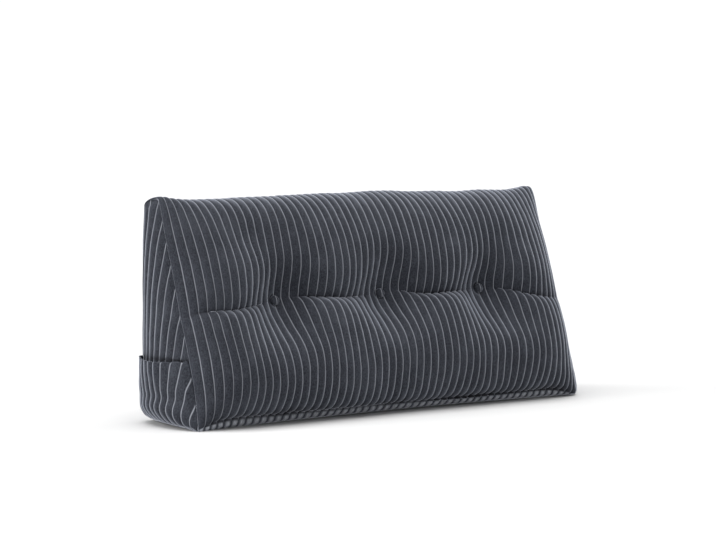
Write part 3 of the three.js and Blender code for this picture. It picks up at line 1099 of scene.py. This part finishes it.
@dataclass
class CushionBody:
    """The filled body in its cord velvet: the wrap and the two end panels, sewn together.

    The front has front_rows on each side of its crease. The rows after it are those of the top,
    the back, the heel, the base and the curl.
    """

    form: WedgeForm
    panels: dict[Side, EndPanel]
    ribs: Ribs
    finish: CordVelvet
    front_rows: int = 44
    later_rows: tuple[int, ...] = (10, 24, 9, 6, 14)
    front_ease: float = 0.7
    crest_column: int = 4
    base_fade: float = 0.010
    # How the painted floor-bounce light fades out towards the foot seam.
    curl_fade: float = 0.25
    # How the painted shadow lies along the foot seam and the crease, and how it comes and goes along the
    # seam like gathers.
    seam_shade: Pair = (0.012, 0.16)
    crease_shade: float = 0.008
    crease_dark: float = 0.7
    puckers: float = 0.7
    pucker_beat: float = 1.7
    pucker_share: float = 0.25
    seam_depth: float = 0.0008
    side_rib_pitch: float = 0.019
    first_side_rib: float = 0.015
    side_rows: int = 56
    side_ease: float = 0.4
    rib_fade: float = 0.012
    button_radius: float = BUTTON_RADIUS
    pocket_mouth: float = POCKET_MOUTH
    mouth_shade: float = 0.004
    pocket_view: float = 0.050
    loose_above: float = 0.030
    pocket_edge: float = 0.018
    plain: float = 0.3
    uneven: Unevenness = Unevenness(seed=7, size=0.0014, shortest=0.04)
    wander: Unevenness = Unevenness(seed=11, size=0.0012, longest=0.24, shortest=0.04)

    def row_places(self) -> list[float]:
        """The places of the wrap's rows: closer together at the foot, the crease and the ridge.

        Returns:
            The places round the section, in order.
        """
        crease = self.form.crease_share()
        stretches = [
            (0.0, crease, self.front_rows, self.front_ease),
            (crease, 1.0, self.front_rows, self.front_ease),
        ]
        for start, steps in enumerate(self.later_rows, start=Stretch.TOP.value):
            stretches.append((start, start + 1, steps, 0.0))
        places = []
        for start, end, steps, ease in stretches:
            for step in range(steps):
                even = step / steps
                share = lerp(even, (1 - math.cos(math.pi * even)) / 2, ease)
                places.append(float(lerp(start, end, share)))
        return places

    def foot_pinch(self, points: Numbers, u: Numbers) -> Numbers:
        """How far the seam at the foot of the front is drawn in.

        Args:
            points: the wrap's points.
            u: the columns' places along the length.

        Returns:
            The depths, as [row, column].
        """
        foot_y, foot_z = self.form.foot.middle
        away = np.hypot(points[:, :, 1] - foot_y, points[:, :, 2] - foot_z)
        near = np.exp(-away / self.form.foot_pinch_reach)
        return self.form.foot_pinch * self.form.crown_share(u)[None, :] * near

    def beside_buttons(self, base: Numbers, rows: list[float]) -> Numbers:
        """How far ribs stand up near the buttons, which press them flat.

        Args:
            base: the wrap's points without ribs.
            rows: the rows' places round the section.

        Returns:
            The shares of the ribs' height, as [row, column].
        """
        foot_y, foot_z = self.form.foot.middle
        up = np.hypot(base[:, :, 1] - foot_y, base[:, :, 2] - foot_z)
        tufting = self.form.tufting
        away = [np.hypot(base[:, :, 0] - x, up - tufting.crease_up) for x in tufting.button_x]
        flat = smooth(np.minimum.reduce(away) / self.button_radius - 1)
        return np.where(np.array(rows)[:, None] < Stretch.TOP.value, flat, 1.0)

    def wrap_marks(self, rows: list[float], phase: Numbers, u: Numbers) -> Marks:
        """Where painted floor-bounce light lies on the curl, and where painted shadow darkens the foot
        seam and the crease.

        Args:
            rows: the rows' places round the section.
            phase: the columns' phases.
            u: the columns' places along the length.

        Returns:
            The marks by name, as [row, column].
        """
        turns = np.array([*rows, 0.0])[:, None]
        left = len(Stretch) - turns
        on_front = turns < Stretch.TOP.value
        # Painted floor-bounce light on the base and its curl, fading out just before the foot seam.
        painted_bounce = np.where(turns < Stretch.BASE.value, 0.0, smooth(left / self.curl_fade))
        by_seam = np.where(on_front, turns / self.seam_shade[0], left / self.seam_shade[1])
        off_crease = (turns - self.form.crease_share()) / self.crease_shade
        by_crease = np.where(on_front, off_crease, math.inf)
        # The foot seam's painted shadow comes and goes along the length like gathers; the crease's
        # painted shadow fades near the buttons and at the side seams.
        pucker_shade = np.sin(self.puckers * math.pi * phase) * np.sin(self.pucker_beat * phase)
        seam = np.exp(-(by_seam**2)) * (1 - self.pucker_share + self.pucker_share * pucker_shade)
        apart = 1 - self.form.tufting.pull(self.form.rib_place(u) * self.form.half_length)
        shadow = seam + np.exp(-(by_crease**2)) * self.crease_dark * apart**2
        shadow = shadow * self.form.crown_share(u)
        return {"painted_bounce": np.broadcast_to(painted_bounce, shadow.shape), "shadow": shadow}

    def wrap(self) -> bpy.types.Object:
        """The ribbed wrap, closed round the section and open at its two ends.

        Returns:
            The wrap's object.
        """
        rows = self.row_places()
        phase = self.ribs.columns(0.0, float(self.ribs.count))
        u = 2 * phase / self.ribs.count - 1
        base = self.form.wrap(rows, u)
        height = self.ribs.profile(phase)[None, :] * smooth(base[:, :, 2] / self.base_fade)
        lift = height * self.beside_buttons(base, rows) - self.foot_pinch(base, u)
        lift[:, [0, -1]] -= self.seam_depth
        around = lengths_along(base, 0)
        free = self.form.crown_share(u)[None, :] * smooth(base[:, :, 2] / self.loose_above)
        lift = lift + self.uneven.at(base[:, :, 0], around) * free
        skin = base + grid_normals(base, closed=True) * lift[:, :, None]
        skin[:, :, 0] += self.wander.at(base[:, :, 0], around) * free
        skin[:, :, 2] = np.maximum(skin[:, :, 2], 0.0)
        skin = np.concatenate([skin, skin[:1]])
        pitch = 2 * self.form.half_length / self.ribs.count
        along = lengths_along(skin[:, [self.crest_column]], 0) / pitch
        across = phase.copy()
        across[[0, -1]] = self.plain, self.ribs.count - self.plain
        coords = np.stack(np.broadcast_arrays(across, along), axis=2)
        marks = self.wrap_marks(rows, phase, u)
        piece = Modelling.sheet("cushion_cover", skin, coords, marks)
        Modelling.merge(piece)
        return piece

    def end(self, side: Side) -> bpy.types.Object:
        """The ribbed and crowned panel at one end.

        Args:
            side: the end.

        Returns:
            The panel's object.
        """
        panel, foot, back = self.panels[side], self.form.foot.end, self.form.heel.end[0]
        phase, y = self.ribs.uprights(foot[0], back, self.first_side_rib, self.side_rib_pitch)
        y[0] = foot[0]
        low = panel.bottom(y)
        low[0] = foot[1]
        even = np.linspace(0, 1, self.side_rows)
        share = lerp(even, smooth(even), self.side_ease)
        z = low[None, :] + (panel.top(y) - low)[None, :] * share[:, None]
        y = np.broadcast_to(y, z.shape)
        base = np.stack([panel.half_length(y, z) * side.value, y, z], axis=2)
        out = grid_normals(base, closed=False) * side.value
        inside = panel.inside(y, z)
        fade = smooth(inside / self.rib_fade)
        near_edge = (inside < self.pocket_edge) & (z < self.pocket_mouth)
        covered = near_edge | (z < self.pocket_mouth - self.pocket_view)
        height = np.where(covered, 0.0, self.ribs.profile(phase)[None, :] * fade)
        lift = height + self.uneven.at(y, z) * fade
        rim = np.zeros(z.shape, dtype=bool)
        rim[[0, -1], :] = rim[:, [0, -1]] = True
        lift[rim] = -self.seam_depth
        out[rim] = (side.value, 0.0, 0.0)
        skin = base + out * lift[:, :, None]
        across = np.where(covered, self.plain, phase)
        coords = np.stack([across, z / self.side_rib_pitch], axis=2)
        # Painted shadow in a strip just above the pocket's mouth.
        over_mouth = (z - self.pocket_mouth - self.mouth_shade / 2) / self.mouth_shade
        marks = {"painted_bounce": np.zeros(z.shape), "shadow": np.exp(-(over_mouth**2))}
        piece = Modelling.sheet(f"end_{side.name.lower()}", skin, coords, marks, side)
        Modelling.merge(piece)
        return piece

    def dress_seam(self, cover: bpy.types.Object, first: int) -> None:
        """Keeps the pale groove colour off the sewn strip.

        Args:
            cover: the body's object.
            first: the number of its first sewn face.
        """
        layer = cover.data.uv_layers[UV_NAME].uv
        for polygon in cover.data.polygons[first:]:
            for corner in polygon.loop_indices:
                layer[corner].vector = (self.plain, 0.0)

    def build(self) -> bpy.types.Object:
        """The finished body.

        Returns:
            The body's object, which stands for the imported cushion.
        """
        cover = self.wrap()
        Modelling.join(cover, self.end(Side.LEFT), self.end(Side.RIGHT))
        for side in Side:
            sewn = len(cover.data.polygons)
            Modelling.bridge_open_edges(cover, side)
            self.dress_seam(cover, sewn)
        Modelling.face_outwards(cover)
        Modelling.finish(cover, self.finish.material())
        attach(cover, BODY)
        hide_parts("cushion")
        return cover


@dataclass
class PatchPocket:
    """A patch pocket over the foot of an end panel, sewn in at its foot and upright edges."""

    side: Side
    form: WedgeForm
    panel: EndPanel
    ribs: Ribs
    finish: CordVelvet
    cloth: float = 0.0025
    pitch: float = 0.0198
    first_rib: float = 0.020
    mouth_height: float = POCKET_MOUTH
    mouth_dip: float = 0.004
    mouth_gap: float = 0.009
    scallop: float = 0.0035
    closed_below: float = 0.050
    slump: float = 0.005
    fold_height: float = 0.066
    fold_reach: float = 0.014
    inset: float = 0.001
    clearance: float = 0.0014
    pressed: float = 0.0006
    press_reach: float = 0.010
    rib_fade: float = 0.012
    rows: int = 44
    uneven: Unevenness = Unevenness(seed=3, size=0.0012, longest=0.14, shortest=0.03)

    def gap(self, y: Numbers, z: Numbers) -> Numbers:
        """How far the pocket's cloth stands off the end panel.

        Args:
            y: places from front to back.
            z: heights.

        Returns:
            The distances, without the cloth's own ribs.
        """
        _, share = self.panel.across(y, z)
        open_share = smooth((z - self.closed_below) / (self.mouth_height - self.closed_below))
        bump = np.exp(-(((z - self.fold_height) / self.fold_reach) ** 2))
        low = smooth((z - self.panel.bottom(y)) / self.fold_height)
        loose = self.mouth_gap * open_share + self.slump * (1 - bump) * low
        return loose * np.sin(math.pi * share)

    def mouth(self, y: Numbers) -> Numbers:
        """The mouth's edge, which dips in the middle.

        Args:
            y: places from front to back.

        Returns:
            The edge's heights.
        """
        front = self.panel.front(self.mouth_height)
        share = np.clip((y - front) / (self.form.heel.end[0] - self.inset - front), 0.0, 1.0)
        return self.mouth_height - self.mouth_dip * np.sin(math.pi * share)

    def build(self) -> bpy.types.Object:
        """The finished pocket.

        Returns:
            The pocket's object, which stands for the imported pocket.
        """
        (foot_y, foot_z), (ridge_y, ridge_z) = self.form.foot.end, self.form.ridge.end
        front, back = foot_y + 2 * self.inset, self.form.heel.end[0] - self.inset
        phase, y = self.ribs.uprights(front, back, self.first_rib, self.pitch)
        inset_up = self.inset * math.hypot(1, (ridge_z - foot_z) / (ridge_y - foot_y))
        low = self.panel.bottom(y) + self.inset
        mouth = self.mouth(y) + self.scallop * self.ribs.profile(phase) / self.ribs.height
        high = np.minimum(mouth, self.panel.top(y) - inset_up)
        z = low[None, :] + (high - low)[None, :] * np.linspace(0, 1, self.rows)[:, None]
        y = np.broadcast_to(y, z.shape)
        inside = self.panel.inside(y, z)
        fade, press = smooth(inside / self.rib_fade), smooth(inside / self.press_reach)
        stand = lerp(self.pressed, self.clearance + self.cloth, press) + self.ribs.height * fade
        loose = self.gap(y, z) + self.uneven.at(y, z) * fade
        outer = self.panel.half_length(y, z) + stand + loose
        outer = outer + self.ribs.profile(phase)[None, :] * fade
        skin = np.stack([outer * self.side.value, y, z], axis=2)
        coords = np.stack([np.broadcast_to(phase, z.shape), z / self.pitch], axis=2)
        name = f"pocket_{self.side.name.lower()}"
        marks = dict.fromkeys(("painted_bounce", "shadow"), np.zeros(z.shape))
        piece = Modelling.sheet(f"{name}_cloth", skin, coords, marks, self.side)
        Modelling.thicken(piece, self.cloth)
        Modelling.finish(piece, self.finish.material())
        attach(piece, BODY)
        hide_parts(name)
        return piece


@dataclass
class CoveredButton:
    """A button covered in the same cord, in its pit on the crease."""

    name: str
    x: float
    form: WedgeForm
    finish: CordVelvet
    radius: float = BUTTON_RADIUS
    edge: float = 0.001
    rim: float = 0.0025
    dome: float = 0.004
    seat: float = 0.0033
    drop: float = 0.002
    sides: int = 48
    dome_steps: int = 7
    rib_pitch: float = 0.0197
    groove_at: float = 0.003
    groove_size: float = 0.0012

    def placement(self) -> Matrix:
        """The button's place: its back on the pit's floor, facing out of the slope.

        Returns:
            The matrix that puts it there.
        """
        u = self.x / self.form.half_length / (1 + self.form.rib_closing)
        slope = self.form.slope_at(u)
        up = float(self.form.tufting.crease_at(self.x)) - self.drop
        y, z = self.form.front(up / float(slope.length), np.float64(u))
        out, across = Vector((0.0, *map(float, slope.out))), Vector((1.0, 0.0, 0.0))
        place = Vector((self.x, float(y), float(z))) + out * self.seat
        turn = Matrix((across, out.cross(across), out)).transposed()
        return Matrix.Translation(place) @ turn.to_4x4()

    def ribbed(self, piece: bpy.types.Object) -> None:
        """Sinks the one groove of the button's cover and lays its cloth coordinates.

        Args:
            piece: the button's object, before it is put in its place.
        """
        layer = piece.data.uv_layers.new(name=UV_NAME).uv
        for vertex in piece.data.vertices:
            off = (vertex.co.x - self.groove_at) / self.groove_size
            if vertex.co.z > self.rim / 2:
                vertex.co.z -= self.groove_size * math.exp(-(off**2))
        for loop in piece.data.loops:
            place = piece.data.vertices[loop.vertex_index].co
            across = (place.x - self.groove_at) / self.rib_pitch
            layer[loop.index].vector = (across, place.y / self.rib_pitch)

    def build(self) -> bpy.types.Object:
        """The finished button.

        Returns:
            The button's object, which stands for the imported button.
        """
        height, width = 0.0, self.radius - self.edge
        Modelling.deselect()
        bpy.ops.mesh.primitive_circle_add(vertices=self.sides, radius=width, fill_type="NGON")
        piece = bpy.context.object
        piece.name = piece.data.name = f"{self.name}_cover"
        levels = [(self.edge, self.radius), (self.rim, self.radius)]
        for step in range(1, self.dome_steps):
            angle = HALF_PI * step / self.dome_steps
            levels.append((self.rim + self.dome * math.sin(angle), self.radius * math.cos(angle)))
        with Modelling.editing(piece):
            for next_height, next_width in levels:
                rise, scale = (0.0, 0.0, next_height - height), next_width / width
                bpy.ops.mesh.extrude_region_move(TRANSFORM_OT_translate={"value": rise})
                bpy.ops.transform.resize(value=(scale, scale, 1.0), center_override=(0, 0, 0))
                height, width = next_height, next_width
            bpy.ops.mesh.poke()
        self.ribbed(piece)
        piece.data.transform(self.placement())
        Modelling.face_outwards(piece)
        Modelling.finish(piece, self.finish.material())
        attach(piece, BODY)
        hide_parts(self.name)
        return piece


@dataclass(frozen=True)
class Sun:
    """A wide, even light: its turn from straight down and its spread are in degrees."""

    name: str
    turn: Triple
    strength: float
    spread: float


@dataclass
class Studio:
    """The pale floor, the soft lights and the camera."""

    camera_place: Triple = (-3.0998, -4.4020, 0.7363)
    camera_turn: float = 34.771
    camera_down: float = 4.424
    lens: float = 118.15
    sensor: float = 36.0
    view_end: float = 100.0
    floor_size: float = 60.0
    horizon: float = 1.05
    room: float = 0.30
    horizon_fade: Pair = (0.10, 0.22)
    suns: tuple[Sun, ...] = (
        Sun("overhead", (2.0, -5.0, 0.0), 3.3, 60.0),
        Sun("left", (-20.0, -72.0, 0.0), 2.8, 50.0),
        Sun("right", (10.0, 62.0, 0.0), 1.1, 40.0),
    )

    @staticmethod
    def place(data: bpy.types.ID, where: Triple, turn: Triple) -> bpy.types.Object:
        """Puts a light or a camera in the room.

        Args:
            data: the light or the camera.
            where: its place.
            turn: its turn from straight down, in degrees.

        Returns:
            The object that holds it.
        """
        holder = bpy.data.objects.new(data.name, data)
        bpy.context.collection.objects.link(holder)
        holder.location = where
        holder.rotation_euler = [math.radians(angle) for angle in turn]
        return holder

    def floor(self) -> None:
        """A wide pale floor."""
        Modelling.deselect()
        bpy.ops.mesh.primitive_plane_add(size=self.floor_size)
        plane = bpy.context.object
        plane.name = "floor"
        plane.data.materials.append(Backdrop().material())

    def lights(self) -> None:
        """The soft, wide lights."""
        for sun in self.suns:
            lamp = bpy.data.lights.new(sun.name, "SUN")
            lamp.energy, lamp.angle = sun.strength, math.radians(sun.spread)
            self.place(lamp, (0.0, 0.0, 0.0), sun.turn)

    def surroundings(self) -> None:
        """A soft room: white at the horizon and dimmer overhead."""
        world = bpy.data.worlds.new("soft_room")
        bpy.context.scene.world = world
        tree = Shading(world)
        way = tree.node("ShaderNodeTexCoord", {}, {}).outputs["Generated"]
        low, high = self.horizon_fade
        inputs = {"Value": tree.part(way, "Z"), "From Min": low, "From Max": high}
        inputs |= {"To Min": self.horizon, "To Max": self.room}
        strength = tree.node("ShaderNodeMapRange", {}, inputs).outputs["Result"]
        inputs = {"Color": (1.0, 1.0, 1.0, 1.0), "Strength": strength}
        glow = tree.node("ShaderNodeBackground", {}, inputs)
        tree.node("ShaderNodeOutputWorld", {}, {"Surface": glow.outputs[0]})

    def build(self) -> None:
        """Sets up the floor, the lights, the surroundings and the camera."""
        self.floor()
        self.lights()
        self.surroundings()
        bpy.context.scene.view_settings.view_transform = "Standard"
        camera = bpy.data.cameras.new("camera")
        camera.lens, camera.sensor_width = self.lens, self.sensor
        camera.clip_end = self.view_end
        turn = (90.0 - self.camera_down, 0.0, -self.camera_turn)
        bpy.context.scene.camera = self.place(camera, self.camera_place, turn)


def main() -> None:
    """Builds the cushion's pieces and the studio, and reports each piece."""
    logging.basicConfig(level=logging.INFO, format="%(message)s")
    form = WedgeForm()
    panels = {side: EndPanel(form, side) for side in Side}
    ribs = Ribs()
    body_cloth = CordVelvet("cord_velvet_body")
    pieces = [CushionBody(form, panels, ribs, body_cloth).build()]
    pocket_cloth = CordVelvet("cord_velvet_pocket")
    for side in Side:
        pieces.append(PatchPocket(side, form, panels[side], ribs, pocket_cloth).build())
    button_cloth = CordVelvet("cord_velvet_button")
    for name, x in zip(("button_left", "button_middle", "button_right"), form.tufting.button_x):
        pieces.append(CoveredButton(name, x, form, button_cloth).build())
    Studio().build()
    for piece in pieces:
        log.info("%s: %d faces", piece.name, len(piece.data.polygons))


if __name__ == "__main__":
    main()
